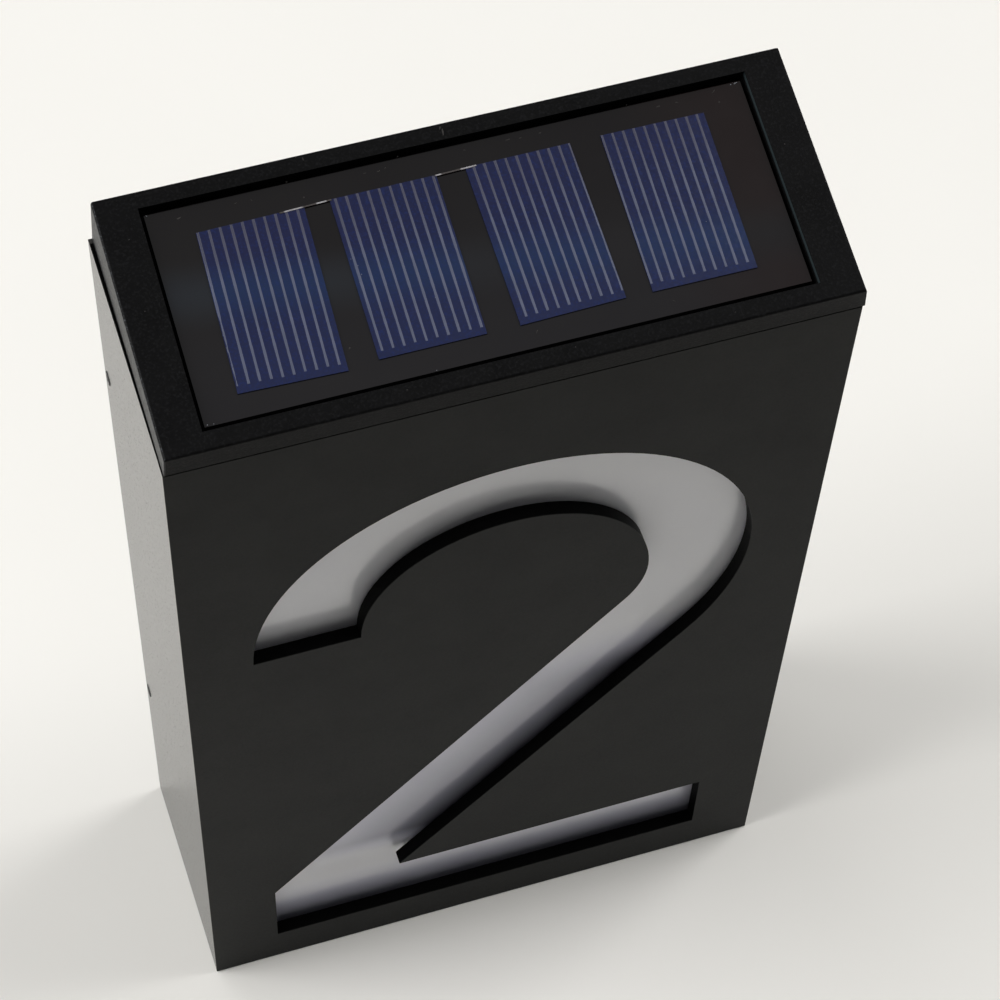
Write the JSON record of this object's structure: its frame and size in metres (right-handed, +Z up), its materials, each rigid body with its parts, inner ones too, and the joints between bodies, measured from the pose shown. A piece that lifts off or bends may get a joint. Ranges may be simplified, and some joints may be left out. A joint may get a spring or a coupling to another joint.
{
  "type": "illuminated house number sign",
  "caption": "Solar wall-hung house number box: a numeral cut in its front over an opal diffuser, under a sloping solar lid.",
  "frame": {"origin": "centre of the housing's base, midway between its sides and between its front face and its back edge", "axes": "+Z up along the box, +Y back into the wall, +X to the viewer's right"},
  "size_m": [0.1282, 0.051, 0.2172],
  "materials": {
    "housing_black": "satin black",
    "lid_black": "fine satin black",
    "seal_rubber": "matt black",
    "foam": "matt dark foam",
    "opal": "glossy opal white",
    "white_plastic": "matt white",
    "sheet_black": "satin black paint",
    "screw_steel": "plain zinc",
    "screw_black": "blackened",
    "panel_board": "glossy near black",
    "silicon": "glossy dark blue",
    "solder": "tinned copper",
    "carrier_black": "matt black",
    "board_green": "glossy green solder mask",
    "chip_black": "matt black",
    "ferrite": "dark ferrite",
    "can": "plain",
    "switch_case": "nickel plated",
    "slider_black": "matt black",
    "led_lens": "clear epoxy",
    "cell_sleeve": "plain green sleeve",
    "contact_metal": "nickel plated",
    "wire_sleeve": "plain coloured sleeve"
  },
  "bodies": {
    "housing": {"front_plate": "housing_black", "housing_shell": "housing_black", "side_screws": "screw_black", "diffuser_tape": "foam", "diffuser": "opal", "reflector": "white_plastic", "reflector_pads": "foam", "back_plate": "sheet_black"},
    "lid": {"lid": "lid_black", "lid_seal": "seal_rubber", "solar_panel": "panel_board", "panel_adhesive": "seal_rubber", "cell_ribbons": "solder", "solar_cell_1": "silicon", "solar_cell_2": "silicon", "solar_cell_3": "silicon", "solar_cell_4": "silicon", "carrier_plate": "carrier_black", "carrier_screws": "screw_steel", "control_board": "board_green", "board_screws": "screw_steel", "driver_chip": "chip_black", "inductor": "ferrite", "capacitor": "can", "switch_body": "switch_case", "led_board": "board_green", "leds": "led_lens", "battery_holder": "carrier_black", "plate_contact": "contact_metal", "spring_contact": "contact_metal", "panel_leads": "wire_sleeve", "battery_leads": "wire_sleeve", "led_leads": "wire_sleeve"},
    "battery": {"battery": "cell_sleeve"},
    "switch_slider": {"switch_slider": "slider_black"}
  },
  "joints": [
    {"name": "lid_lift", "type": "slide", "parent": "housing", "child": "lid", "axis": [0, 0, 1], "range_m": [0, 0.025]},
    {"name": "battery_release", "type": "slide", "parent": "lid", "child": "battery", "axis": [0, 0, -1], "range_m": [0, 0.02]},
    {"name": "switch_slide", "type": "slide", "parent": "lid", "child": "switch_slider", "axis": [1, 0, 0], "range_m": [0, 0.002]}
  ]
}
